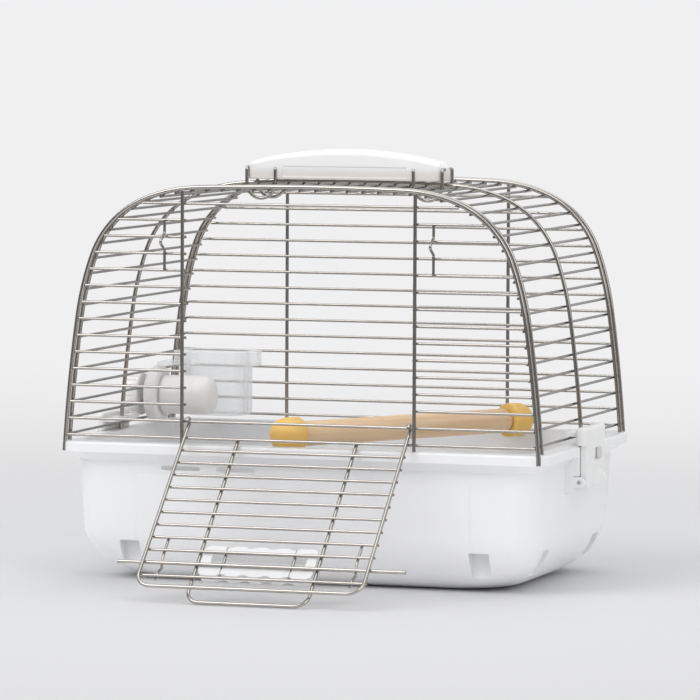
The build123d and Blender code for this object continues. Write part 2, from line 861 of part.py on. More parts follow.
with BuildPart() as perch_dowel:
    with BuildSketch(perch_turn):
        with BuildLine():
            Polyline(
                (neck_start, perch_end_r),
                (dowel_start, perch_end_r),
                (dowel_start, 0),
                (dowel_end, 0),
                (dowel_end, perch_end_r),
                (perch_span - neck_start, perch_end_r),
            )
            ThreePointArc(
                (neck_start, perch_end_r),
                (perch_span / 2, perch_middle_diameter / 2),
                (perch_span - neck_start, perch_end_r),
            )
        make_face()
    revolve(axis=Axis(origin=perch_front, direction=perch_dir))
save(perch_dowel, "perch_dowel")

for cap_name, origin, way in (
    ("front_perch_cap", perch_front, 1),
    ("back_perch_cap", perch_back, -1),
):
    cap_dir = (way * perch_dir[0], way * perch_dir[1], 0.0)
    cap_plane = Plane(origin=origin, x_dir=cap_dir, z_dir=(cap_dir[1], -cap_dir[0], 0.0))
    with BuildPart() as perch_cap:
        with BuildSketch(cap_plane):
            with BuildLine():
                ThreePointArc(
                    (-cap_r, 0),
                    (-cap_r * cos(radians(45)), cap_r * sin(radians(45))),
                    (0, cap_r),
                )
                Line((0, cap_r), (cap_open - perch_cap_edge_round, cap_r))
                ThreePointArc(
                    (cap_open - perch_cap_edge_round, cap_r),
                    (cap_open - edge_mid, cap_r - edge_mid),
                    (cap_open, cap_r - perch_cap_edge_round),
                )
                Polyline(
                    (cap_open, cap_r - perch_cap_edge_round),
                    (cap_open, socket_r),
                    (socket_floor, socket_r),
                    (socket_floor, 0),
                    (-cap_r, 0),
                )
            make_face()
        revolve(axis=Axis(origin=origin, direction=cap_dir))
    save(perch_cap, cap_name)

# ---------------------------------------------------------------- feeder
hub_r = hub_diameter / 2
flange_r = flange_diameter / 2
knob_r = knob_diameter / 2
screw_r = clamp_screw / 2
wire_below = side_places[-1 - feeder_axis_wire]
wire_above = side_places[-2 - feeder_axis_wire]
feeder_z = (wire_below[1] + wire_above[1]) / 2
hub_face = arch_half_width(feeder_z - hub_r, side_inset) + row_r + close_gap
flange_face = arch_half_width(feeder_z + flange_r, side_inset) - row_r - close_gap
knob_face = flange_face - flange_length - close_gap
screw_outer = hub_face + hub_length - hub_end_wall
screw_inner = knob_face - knob_bore_depth
cup_y = feeder_y + flange_r + close_gap + cup_depth / 2
cup_bottom = row_base + cup_underside
cup_top = cup_bottom + cup_height
tongue_z = feeder_z + flange_r + close_gap + cup_tongue_thickness / 2


def add_x_barrel(outer_x: float, inner_x: float, radius: float, mode: Mode) -> None:
    """Round bar along X on the feeder's axis, between two distances left of the middle."""
    with Locations((-(outer_x + inner_x) / 2, feeder_y, feeder_z)):
        Cylinder(radius, outer_x - inner_x, rotation=(0, 90, 0), mode=mode)


with BuildPart() as clamp_screw_rod:
    add_x_barrel(screw_outer, screw_inner, screw_r, Mode.ADD)
save(clamp_screw_rod, "feeder_clamp_screw")

with BuildPart() as clamp_nut:
    add_x_barrel(hub_face + hub_length, hub_face, hub_r, Mode.ADD)
    fillet(clamp_nut.edges().filter_by(GeomType.CIRCLE), hub_edge_round)
    add_x_barrel(screw_outer + screw_fit, hub_face - cut_spare, screw_r + screw_fit, Mode.SUBTRACT)
save(clamp_nut, "feeder_clamp_nut")

with BuildPart() as clamp_flange:
    add_x_barrel(flange_face, flange_face - flange_length, flange_r, Mode.ADD)
    fillet(clamp_flange.edges().filter_by(GeomType.CIRCLE), flange_edge_round)
    add_x_barrel(flange_face + cut_spare, knob_face - cut_spare, screw_r + screw_fit, Mode.SUBTRACT)
save(clamp_flange, "feeder_clamp_flange")

with BuildPart() as clamp_knob:
    add_x_barrel(knob_face, knob_face - knob_length, knob_r, Mode.ADD)
    fillet(clamp_knob.edges().sort_by(Axis.X)[-1], knob_nose_round)
    add_x_barrel(knob_face + cut_spare, screw_inner - screw_fit, screw_r + screw_fit, Mode.SUBTRACT)
save(clamp_knob, "feeder_clamp_knob")


def add_cup_outline(grow: float, mode: Mode) -> None:
    """Rounded outline of the cup, grown outwards by a distance."""
    with Locations((cup_x, cup_y)):
        RectangleRounded(
            cup_length + 2 * grow,
            cup_depth + 2 * grow,
            cup_corner_radius + grow,
            mode=mode,
        )


with BuildPart() as feeder_cup:
    with BuildSketch(Plane.XY.offset(cup_bottom)):
        add_cup_outline(0.0, Mode.ADD)
    extrude(amount=cup_height)
    fillet(feeder_cup.faces().sort_by(Axis.Z)[0].edges(), cup_bottom_round)
    with BuildSketch(Plane.XY.offset(cup_top)):
        add_cup_outline(cup_lip, Mode.ADD)
        add_cup_outline(0.0, Mode.SUBTRACT)
    extrude(amount=-cup_wall)
    with BuildSketch(Plane.XY.offset(cup_top)):
        add_cup_outline(cup_lip, Mode.ADD)
        add_cup_outline(cup_lip - cup_wall, Mode.SUBTRACT)
    extrude(amount=-cup_lip_drop)
    with BuildSketch(Plane.XY.offset(cup_top)):
        add_cup_outline(-cup_wall, Mode.ADD)
    extrude(amount=-(cup_height - cup_wall), mode=Mode.SUBTRACT)
    tongue_front = feeder_y - cup_tongue_reach
    tongue_back = cup_y - cup_depth / 2 - cup_lip + cup_tongue_seat
    tongue_x = cup_x - cup_length / 2 - cup_lip + cup_tongue_width / 2
    with Locations((tongue_x, (tongue_front + tongue_back) / 2, tongue_z)):
        Box(cup_tongue_width, tongue_back - tongue_front, cup_tongue_thickness)
save(feeder_cup, "feeder_cup")
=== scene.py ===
"""Dresses the bird travel carrier: finishes, detailed pieces, studio and camera."""

from __future__ import annotations

import json
import logging
import math
from collections.abc import Callable
from dataclasses import dataclass
from enum import Enum

import bmesh
import bpy
from mathutils import Matrix, Vector

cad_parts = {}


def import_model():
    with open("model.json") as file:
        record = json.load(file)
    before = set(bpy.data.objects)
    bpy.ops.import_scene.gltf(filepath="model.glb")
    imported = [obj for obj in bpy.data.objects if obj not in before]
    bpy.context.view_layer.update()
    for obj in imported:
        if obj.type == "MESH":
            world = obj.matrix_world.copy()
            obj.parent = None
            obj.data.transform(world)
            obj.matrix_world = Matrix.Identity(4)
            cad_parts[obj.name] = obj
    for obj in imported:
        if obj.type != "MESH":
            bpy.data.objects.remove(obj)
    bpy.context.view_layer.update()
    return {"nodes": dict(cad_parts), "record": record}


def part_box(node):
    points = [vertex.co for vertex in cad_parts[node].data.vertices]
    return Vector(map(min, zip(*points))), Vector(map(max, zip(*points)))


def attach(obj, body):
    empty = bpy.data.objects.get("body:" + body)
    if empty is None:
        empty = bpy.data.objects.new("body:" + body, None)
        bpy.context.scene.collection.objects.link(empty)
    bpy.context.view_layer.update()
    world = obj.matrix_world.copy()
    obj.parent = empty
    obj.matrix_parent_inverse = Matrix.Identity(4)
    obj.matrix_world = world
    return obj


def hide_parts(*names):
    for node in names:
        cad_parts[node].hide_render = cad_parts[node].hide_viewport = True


log = logging.getLogger("carrier")

SMOOTH_BELOW = 35.0


# ---------------------------------------------------------------- shader tools
class Signal:
    """A shader socket that arithmetic can be written on."""

    def __init__(self, sheet: "Sheet", socket: bpy.types.NodeSocket) -> None:
        """Wraps a socket of a sheet's node tree."""
        self.sheet = sheet
        self.socket = socket

    def _join(self, operation: str, first: object, second: object) -> "Signal":
        """One Math node.

        Args:
            operation: the Math node's operation.
            first: its first input, a signal or a number.
            second: its second input, a signal or a number.

        Returns:
            The node's value as a signal.
        """
        return self.sheet.node("ShaderNodeMath", {"operation": operation}, {0: first, 1: second})

    def __add__(self, other: object) -> "Signal":
        """Sum."""
        return self._join("ADD", self, other)

    __radd__ = __add__

    def __sub__(self, other: object) -> "Signal":
        """Difference."""
        return self._join("SUBTRACT", self, other)

    def __rsub__(self, other: object) -> "Signal":
        """Difference with the number first."""
        return self._join("SUBTRACT", other, self)

    def __mul__(self, other: object) -> "Signal":
        """Product."""
        return self._join("MULTIPLY", self, other)


class Sheet:
    """A node tree, built by one node-making method."""

    def __init__(self, tree: bpy.types.NodeTree) -> None:
        """Takes the tree to build in."""
        self.tree = tree

    def node(
        self,
        kind: str,
        settings: dict | None = None,
        inputs: dict | None = None,
        output: object = 0,
    ) -> Signal:
        """Makes one node.

        Args:
            kind: the node's type.
            settings: properties, which are set first.
            inputs: socket name or number to a value or a signal.
            output: name or number of the output that is returned.

        Returns:
            The chosen output as a signal.
        """
        made = self.tree.nodes.new(kind)
        for key, value in (settings or {}).items():
            setattr(made, key, value)
        for key, value in (inputs or {}).items():
            self.feed(made.inputs[key], value)
        return Signal(self, made.outputs[output])

    def feed(self, socket: bpy.types.NodeSocket, value: object) -> None:
        """Links a signal to a socket, or sets its value.

        Args:
            socket: the socket that takes it.
            value: a signal, a number, a vector or a colour.
        """
        if isinstance(value, Signal):
            self.tree.links.new(value.socket, socket)
        else:
            socket.default_value = value

    def blend(self, factor: object, first: tuple, second: tuple) -> Signal:
        """Mixes two colours.

        Args:
            factor: how much of the second shows.
            first: the colour at 0.
            second: the colour at 1.

        Returns:
            The mixed colour.
        """
        inputs = {0: factor, 6: (*first, 1.0), 7: (*second, 1.0)}
        return self.node("ShaderNodeMix", {"data_type": "RGBA"}, inputs, 2)

    def rise(self, value: Signal, low: float, high: float) -> Signal:
        """A smooth rise from 0 to 1.

        Args:
            value: what it follows.
            low: where it starts.
            high: where it ends; below low, it rises the other way.

        Returns:
            The rise.
        """
        inputs = {"Value": value, "From Min": low, "From Max": high}
        return self.node("ShaderNodeMapRange", {"interpolation_type": "SMOOTHSTEP"}, inputs)

    def axis(self, place: Signal, name: str) -> Signal:
        """One of a vector's three parts."""
        return self.node("ShaderNodeSeparateXYZ", None, {"Vector": place}, name)

    def ray(self, kind: str) -> Signal:
        """Whether a ray is of a kind."""
        return self.node("ShaderNodeLightPath", output=f"Is {kind} Ray")


class Recipe(Sheet):
    """A material round one Principled shader."""

    def __init__(self, name: str) -> None:
        """Starts a material.

        Args:
            name: the material's name.
        """
        self.material = bpy.data.materials.new(name)
        self.material.use_nodes = True
        super().__init__(self.material.node_tree)
        self.shader = self.tree.nodes["Principled BSDF"]
        self.place = self.node("ShaderNodeTexCoord", output="Object")

    def set(self, **values: object) -> None:
        """Sets or feeds the shader's sockets; an underscore stands for a space."""
        for key, value in values.items():
            self.feed(self.shader.inputs[key.replace("_", " ")], value)

    def noise(self, scale: float, detail: float, place: Signal | None = None) -> Signal:
        """Noise on Object coordinates.

        Args:
            scale: features per metre.
            detail: the noise's octaves.
            place: coordinates to use in place of the plain ones.

        Returns:
            A value round 0.5.
        """
        inputs = {"Vector": place or self.place, "Scale": scale, "Detail": detail}
        return self.node("ShaderNodeTexNoise", None, inputs, "Fac")

    def bump(
        self, height: Signal, strength: float, depth: float, over: Signal | None = None
    ) -> Signal:
        """A normal from a height.

        Args:
            height: the height, 0 to 1.
            strength: how much of it shows.
            depth: its full depth in metres.
            over: a normal that it is laid over.

        Returns:
            The normal.
        """
        inputs = {"Height": height, "Strength": strength, "Distance": depth}
        if over:
            inputs["Normal"] = over
        return self.node("ShaderNodeBump", None, inputs)


def around(middle: object, cloud: Signal, swing: float) -> Signal:
    """A value that clouding moves to both sides.

    Args:
        middle: the value without clouding.
        cloud: noise round 0.5.
        swing: the whole width of the change.

    Returns:
        The clouded value.
    """
    return middle + (cloud - 0.5) * swing


# ---------------------------------------------------------------- finishes
@dataclass(frozen=True)
class BrightWire:
    """Plated steel wire: a painted bright reflection down the core between painted dark flanks,
    with faint clouding.
    """

    name: str = "bright_wire"
    lit_core: tuple = (0.50, 0.475, 0.445)
    shaded_flank: tuple = (0.20, 0.19, 0.175)
    roughness: float = 0.16
    cloud_scale: float = 45.0
    fine_scale: float = 900.0
    facing: float = 0.45
    flank_shade_gain: float = 1.25
    tone_swing: float = 0.35
    rough_swing: float = 0.14
    grain: float = 0.2
    grain_depth: float = 0.0001

    def make(self) -> bpy.types.Material:
        """Builds the material.

        Returns:
            The material.
        """
        recipe = Recipe(self.name)
        cloud = recipe.noise(self.cloud_scale, 3.0)
        fine = recipe.noise(self.fine_scale, 2.0)
        # Painted reflection: the colour goes from the bright core to the dark flanks as the
        # surface turns edge on.
        edge = recipe.node("ShaderNodeLayerWeight", None, {"Blend": self.facing}, "Facing")
        tone = around(edge * self.flank_shade_gain, cloud, self.tone_swing)
        recipe.set(
            Base_Color=recipe.blend(tone, self.lit_core, self.shaded_flank),
            Metallic=1.0,
            Roughness=around(self.roughness, cloud, self.rough_swing),
            Normal=recipe.bump(fine, self.grain, self.grain_depth),
        )
        return recipe.material


@dataclass(frozen=True)
class MouldedPlastic:
    """Opaque injection-moulded plastic with a faint grain."""

    name: str
    colour: tuple
    shade: tuple
    roughness: float
    rough_swing: float = 0.12
    cloud_scale: float = 14.0
    fine_scale: float = 1400.0
    grain: float = 0.12
    grain_depth: float = 0.0001
    coat: float = 0.15
    coat_roughness: float = 0.12

    def make(self) -> bpy.types.Material:
        """Builds the material.

        Returns:
            The material.
        """
        recipe = Recipe(self.name)
        cloud = recipe.noise(self.cloud_scale, 3.0)
        fine = recipe.noise(self.fine_scale, 2.0)
        recipe.set(
            Base_Color=recipe.blend(cloud, self.shade, self.colour),
            Roughness=around(self.roughness, cloud, self.rough_swing),
            Coat_Weight=self.coat,
            Coat_Roughness=self.coat_roughness,
            Normal=recipe.bump(fine, self.grain, self.grain_depth),
        )
        return recipe.material


@dataclass(frozen=True)
class TubPlastic:
    """White tub moulding: soft panel steps in the walls over a faint grain."""

    name: str = "tub_plastic"
    colour: tuple = (0.85, 0.85, 0.855)
    shade: tuple = (0.81, 0.81, 0.82)
    roughness: float = 0.34
    rough_swing: float = 0.12
    cloud_scale: float = 9.0
    fine_scale: float = 1200.0
    grain: float = 0.1
    grain_depth: float = 0.0001
    coat: float = 0.12
    coat_roughness: float = 0.15
    panel_half: float = 0.128
    panel_top: float = 0.080
    step_width: float = 0.004
    step_depth: float = 0.0012
    step_strength: float = 0.8

    def make(self) -> bpy.types.Material:
        """Builds the material.

        Returns:
            The material.
        """
        recipe = Recipe(self.name)
        cloud = recipe.noise(self.cloud_scale, 3.0)
        fine = recipe.noise(self.fine_scale, 2.0)
        across = recipe.axis(recipe.place, "X")
        along = recipe.node("ShaderNodeMath", {"operation": "ABSOLUTE"}, {0: across})
        height = recipe.axis(recipe.place, "Z")
        inside = recipe.rise(self.panel_half - along, 0.0, self.step_width)
        below = recipe.rise(self.panel_top - height, 0.0, self.step_width)
        steps = recipe.bump(inside * below, self.step_strength, self.step_depth)
        recipe.set(
            Base_Color=recipe.blend(cloud, self.shade, self.colour),
            Roughness=around(self.roughness, cloud, self.rough_swing),
            Coat_Weight=self.coat,
            Coat_Roughness=self.coat_roughness,
            Normal=recipe.bump(fine, self.grain, self.grain_depth, steps),
        )
        return recipe.material


@dataclass(frozen=True)
class GripPlastic:
    """White handle moulding, warmer and darker low down from a painted shade and warm reflection,
    and rougher there.
    """

    name: str = "grip_plastic"
    colour: tuple = (0.88, 0.88, 0.87)
    low_shade_colour: tuple = (0.74, 0.70, 0.67)
    low_shade_top: float = 0.2985
    low_shade_depth: float = 0.006
    low_shade_wander: float = 0.002
    low_band_roughness: float = 0.15
    roughness: float = 0.36
    cloud_scale: float = 30.0
    fine_scale: float = 700.0
    grain: float = 0.18
    grain_depth: float = 0.00015
    coat: float = 0.1

    def make(self) -> bpy.types.Material:
        """Builds the material.

        Returns:
            The material.
        """
        recipe = Recipe(self.name)
        cloud = recipe.noise(self.cloud_scale, 3.0)
        fine = recipe.noise(self.fine_scale, 2.0)
        # Painted shade and warm reflection: below a wandering line the colour turns darker and
        # warmer, and the roughness rises.
        height = around(recipe.axis(recipe.place, "Z"), cloud, self.low_shade_wander)
        low = recipe.rise(height, self.low_shade_top, self.low_shade_top - self.low_shade_depth)
        recipe.set(
            Base_Color=recipe.blend(low, self.colour, self.low_shade_colour),
            Roughness=self.roughness + low * self.low_band_roughness,
            Coat_Weight=self.coat,
            Normal=recipe.bump(fine, self.grain, self.grain_depth),
        )
        return recipe.material


@dataclass(frozen=True)
class ClearPlastic:
    """Clear moulded plastic, denser where it is seen edge on."""

    name: str = "clear_plastic"
    colour: tuple = (0.93, 0.94, 0.95)
    body: float = 0.16
    rim: float = 0.6
    facing: float = 0.4
    shade: float = 0.97
    roughness: float = 0.05
    rough_swing: float = 0.06
    cloud_scale: float = 60.0
    ripple: float = 0.3
    ripple_depth: float = 0.0004
    bending: float = 1.46

    def make(self) -> bpy.types.Material:
        """Builds the material.

        Returns:
            The material.
        """
        recipe = Recipe(self.name)
        cloud = recipe.noise(self.cloud_scale, 2.0)
        edge = recipe.node("ShaderNodeLayerWeight", None, {"Blend": self.facing}, "Facing")
        shaded = tuple(part * self.shade for part in self.colour)
        recipe.set(
            Base_Color=recipe.blend(cloud, shaded, self.colour),
            Roughness=self.roughness + cloud * self.rough_swing,
            IOR=self.bending,
            Alpha=edge * self.rim + self.body,
            Normal=recipe.bump(cloud, self.ripple, self.ripple_depth),
        )
        return recipe.material


@dataclass(frozen=True)
class TurnedWood:
    """Pale sanded dowel with grain along its length."""

    name: str = "turned_wood"
    light: tuple = (0.86, 0.65, 0.43)
    dark: tuple = (0.70, 0.47, 0.27)
    turn: float = 1.022
    stretch: tuple = (6.0, 170.0, 170.0)
    grain_scale: float = 2.0
    pore_scale: float = 9.0
    grain_share: float = 0.75
    tone_floor: float = 0.3
    contrast: float = 2.2
    roughness: float = 0.55
    rough_swing: float = 0.2
    relief: float = 0.35
    relief_depth: float = 0.0003

    def make(self) -> bpy.types.Material:
        """Builds the material.

        Returns:
            The material.
        """
        recipe = Recipe(self.name)
        along = recipe.node(
            "ShaderNodeVectorRotate",
            {"rotation_type": "Z_AXIS"},
            {"Vector": recipe.place, "Angle": -self.turn},
        )
        spot = recipe.node("ShaderNodeMapping", None, {"Vector": along, "Scale": self.stretch})
        grain = recipe.noise(self.grain_scale, 5.0, spot)
        pores = recipe.noise(self.pore_scale, 2.0, spot)
        tone = grain * self.grain_share + pores * (1.0 - self.grain_share)
        shown = (tone - self.tone_floor) * self.contrast
        recipe.set(
            Base_Color=recipe.blend(shown, self.dark, self.light),
            Roughness=around(self.roughness, grain, self.rough_swing),
            Normal=recipe.bump(tone, self.relief, self.relief_depth),
        )
        return recipe.material


@dataclass(frozen=True)
class SoftRubber:
    """Matt yellow rubber of the perch caps."""

    name: str = "cap_rubber"
    colour: tuple = (0.88, 0.57, 0.17)
    shade: tuple = (0.80, 0.49, 0.12)
    roughness: float = 0.5
    rough_swing: float = 0.15
    cloud_scale: float = 90.0
    fine_scale: float = 1500.0
    grain: float = 0.2
    grain_depth: float = 0.0001

    def make(self) -> bpy.types.Material:
        """Builds the material.

        Returns:
            The material.
        """
        recipe = Recipe(self.name)
        cloud = recipe.noise(self.cloud_scale, 3.0)
        fine = recipe.noise(self.fine_scale, 1.0)
        recipe.set(
            Base_Color=recipe.blend(cloud, self.shade, self.colour),
            Roughness=around(self.roughness, cloud, self.rough_swing),
            Normal=recipe.bump(fine, self.grain, self.grain_depth),
        )
        return recipe.material


class Dress(Enum):
    """The finishes by name."""

    WIRE = "wire"
    TUB = "tub"
    WHITE = "white"
    FEEDER = "feeder"
    CLEAR = "clear"
    FROSTED = "frosted"
    GRIP = "grip"
    WOOD = "wood"
    RUBBER = "rubber"


# ---------------------------------------------------------------- bench
class Pick(Enum):
    """What a selection takes in."""

    CORNERS = "VERT"
    EDGES = "EDGE"
    FACES = "FACE"


class Bench:
    """One piece on the bench: a primitive shaped by hand tools in edit mode."""

    def __init__(self, name: str, coat: bpy.types.Material) -> None:
        """Clears the selection for a new piece.

        Args:
            name: the piece's name.
            coat: its finish.
        """
        self.name = name
        self.coat = coat
        self._leave()
        bpy.ops.object.select_all(action="DESELECT")

    def block(self, low: Vector, high: Vector) -> "Bench":
        """Starts from a block.

        Args:
            low: its lowest corner.
            high: its highest corner.

        Returns:
            The bench.
        """
        bpy.ops.mesh.primitive_cube_add(size=1.0, location=(low + high) / 2)
        self.piece = bpy.context.object
        self.piece.scale = high - low
        return self._settle()

    def disc(self, x: float, radius: float, sides: int) -> "Bench":
        """Starts from a disc that faces along X, for a turned piece.

        Args:
            x: its place along X.
            radius: its radius.
            sides: its number of sides.

        Returns:
            The bench.
        """
        bpy.ops.mesh.primitive_circle_add(
            vertices=sides,
            radius=radius,
            fill_type="NGON",
            location=(x, 0, 0),
            rotation=(0, math.pi / 2, 0),
        )
        self.piece = bpy.context.object
        return self._settle()

    def _settle(self) -> "Bench":
        """Puts the piece's place into its mesh, and opens it for shaping.

        Returns:
            The bench.
        """
        bpy.ops.object.transform_apply(location=True, rotation=True, scale=True)
        self.piece.name = self.name
        bpy.ops.object.mode_set(mode="EDIT")
        bpy.ops.mesh.select_all(action="SELECT")
        return self

    def _leave(self) -> None:
        """Leaves edit mode."""
        if bpy.context.object and bpy.context.object.mode == "EDIT":
            bpy.ops.object.mode_set(mode="OBJECT")

    def pick(self, kind: Pick, test: Callable[[Vector, Vector], bool]) -> "Bench":
        """Selects by place.

        Args:
            kind: corners, edges or faces.
            test: takes the middle and the normal, or an edge's run, and says yes or no.

        Returns:
            The bench.
        """
        bpy.ops.mesh.select_mode(type=kind.value)
        bpy.ops.mesh.select_all(action="DESELECT")
        mesh = bmesh.from_edit_mesh(self.piece.data)
        if kind is Pick.CORNERS:
            for corner in mesh.verts:
                corner.select = test(corner.co, corner.normal)
        elif kind is Pick.EDGES:
            for edge in mesh.edges:
                first, last = (v.co for v in edge.verts)
                edge.select = test((first + last) / 2, (last - first).normalized())
        else:
            for face in mesh.faces:
                face.select = test(face.calc_center_median(), face.normal)
        mesh.select_flush_mode()
        bmesh.update_edit_mesh(self.piece.data)
        return self

    def cut(self, place: tuple, across: tuple) -> "Bench":
        """Cuts new edges round the whole piece in a plane.

        Args:
            place: a point in the plane.
            across: the plane's normal.

        Returns:
            The bench.
        """
        bpy.ops.mesh.select_all(action="SELECT")
        bpy.ops.mesh.bisect(plane_co=place, plane_no=across)
        return self

    def stations(self) -> list:
        """The places along X at which the mesh has corners, from the lowest."""
        mesh = bmesh.from_edit_mesh(self.piece.data)
        return sorted({round(corner.co.x, 6) for corner in mesh.verts})

    def scale(self, factors: tuple, centre: tuple) -> "Bench":
        """Scales what is selected about a point."""
        bpy.ops.transform.resize(value=factors, center_override=centre)
        return self

    def push(self, move: tuple) -> "Bench":
        """Extrudes what is selected."""
        bpy.ops.mesh.extrude_region_move(TRANSFORM_OT_translate={"value": move})
        return self

    def inset(self, width: float, depth: float = 0.0, single: bool = False) -> "Bench":
        """Insets the selected faces, and sinks or raises them."""
        bpy.ops.mesh.inset(thickness=width, depth=depth, use_individual=single)
        return self

    def round(self, width: float, segments: int) -> "Bench":
        """Bevels the selected edges."""
        bpy.ops.mesh.bevel(offset=width, segments=segments, affect="EDGES", profile=0.5)
        return self

    def turned(self, profile: list, sides: int) -> "Bench":
        """A turned piece round X.

        Args:
            profile: places along X and radii, from the first end to the last.
            sides: sides of the turning.

        Returns:
            The bench.
        """
        (x, radius), *rest = profile
        self.disc(x, radius, sides)
        for next_x, next_radius in rest:
            self.push((next_x - x, 0, 0))
            ratio = next_radius / radius
            self.scale((1, ratio, ratio), (next_x, 0, 0))
            x, radius = next_x, next_radius
        return self

    def soften(self, width: float, segments: int, angle: float) -> "Bench":
        """Rounds every sharp edge with a Bevel modifier, applied.

        Args:
            width: the rounding's width.
            segments: its steps.
            angle: the least turn between faces, in degrees, that counts as sharp.

        Returns:
            The bench.
        """
        self._leave()
        bevel = self.piece.modifiers.new("soft_edges", "BEVEL")
        bevel.width = width
        bevel.segments = segments
        bevel.limit_method = "ANGLE"
        bevel.angle_limit = math.radians(angle)
        bevel.use_clamp_overlap = True
        bpy.ops.object.modifier_apply(modifier=bevel.name)
        bpy.ops.object.mode_set(mode="EDIT")
        return self

    def place(self, spot: tuple, turn: float = 0.0) -> "Bench":
        """Turns the piece about Z at the origin, then moves it to its place.

        Args:
            spot: where the origin goes.
            turn: the turn in radians.

        Returns:
            The bench.
        """
        self._leave()
        self.piece.matrix_world = Matrix.Translation(spot) @ Matrix.Rotation(turn, 4, "Z")
        bpy.ops.object.transform_apply(location=True, rotation=True, scale=True)
        bpy.ops.object.mode_set(mode="EDIT")
        return self

    def join(self, other: "Bench") -> "Bench":
        """Takes another piece's mesh into this one.

        Args:
            other: the bench that holds the other piece.

        Returns:
            The bench.
        """
        self._leave()
        other.piece.select_set(True)
        self.piece.select_set(True)
        bpy.context.view_layer.objects.active = self.piece
        bpy.ops.object.join()
        bpy.ops.object.mode_set(mode="EDIT")
        return self

    def done(self, body: str, slot: str, *nodes: str) -> bpy.types.Object:
        """Takes the piece off the bench.

        Args:
            body: the body that it rides on.
            slot: the record's material slot; not used.
            nodes: the CAD nodes that it stands for.

        Returns:
            The finished object.
        """
        bpy.ops.mesh.select_all(action="SELECT")
        bpy.ops.mesh.normals_make_consistent(inside=False)
        self._leave()
        bpy.ops.object.shade_smooth_by_angle(angle=math.radians(SMOOTH_BELOW))
        self.piece.data.materials.clear()
        self.piece.data.materials.append(self.coat)
        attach(self.piece, body)
        if nodes:
            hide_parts(*nodes)
        log.info("made %s: %d faces", self.name, len(self.piece.data.polygons))
        return self.piece


def corners(node: str) -> tuple:
    """The lowest and highest corner of a node's box at rest."""
    low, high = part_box(node)
    return Vector(low), Vector(high)


def near(first: float, second: float, spare: float = 1e-5) -> bool:
    """Whether two lengths are the same within a spare."""
    return abs(first - second) < spare


# ---------------------------------------------------------------- pieces
@dataclass
class Handle:
    """Carrying handle with a crowned top and a sunk grip on each face."""

    coats: dict
    end_drop: float = 0.0098
    tip_drop: float = 0.0022
    tip_length: float = 0.006
    stations: int = 24
    grip_half: float = 0.048
    grip_top: float = 0.0100
    grip_foot: float = 0.0016
    grip_sink: float = 0.0007
    corner: float = 0.0050
    crown_round: float = 0.0046
    panel_rim: float = 0.0009
    foot_round: float = 0.0008

    def build(self) -> None:
        """Makes the grip."""
        low, high = corners("handle_grip")
        half = high.x
        bench = Bench("grip_moulding", self.coats[Dress.GRIP]).block(low, high)
        bench.pick(Pick.EDGES, lambda _, way: abs(way.z) > 0.9).round(self.corner, 5)
        bench.pick(Pick.EDGES, lambda co, way: near(co.z, high.z) and abs(way.z) < 0.1)
        bench.round(self.crown_round, 6)
        for i in range(1, self.stations):
            bench.cut((half * (2 * i / self.stations - 1), 0, 0), (1, 0, 0))
        for side in (-1, 1):
            bench.cut((side * self.grip_half, 0, 0), (1, 0, 0))
        for x in bench.stations():
            bench.pick(Pick.CORNERS, lambda co, _, x=x: near(co.x, x))
            share = 1 - self._drop(x, half) / (high.z - low.z)
            bench.scale((1, 1, share), (x, 0, low.z))
        for height in (self.grip_foot, self.grip_top):
            bench.cut((0, 0, low.z + height), (0, 0, 1))
        bench.pick(Pick.FACES, lambda co, way: self._in_grip(co, way, low.z))
        bench.inset(self.panel_rim, -self.grip_sink)
        bench.pick(Pick.EDGES, lambda co, way: near(co.z, low.z) and abs(way.z) < 0.1)
        bench.round(self.foot_round, 3)
        bench.done("handle", "handle_plastic", "handle_grip")

    def _drop(self, x: float, half: float) -> float:
        """How far the crown lies below its middle at a place along the handle."""
        tip = max(0.0, abs(x) - half + self.tip_length) / self.tip_length
        return self.end_drop * (x / half) ** 2 + self.tip_drop * tip * tip

    def _in_grip(self, spot: Vector, way: Vector, floor: float) -> bool:
        """Whether a face lies in one of the grip panels."""
        across = abs(spot.x) < self.grip_half and abs(way.y) > 0.9
        return across and floor + self.grip_foot < spot.z < floor + self.grip_top


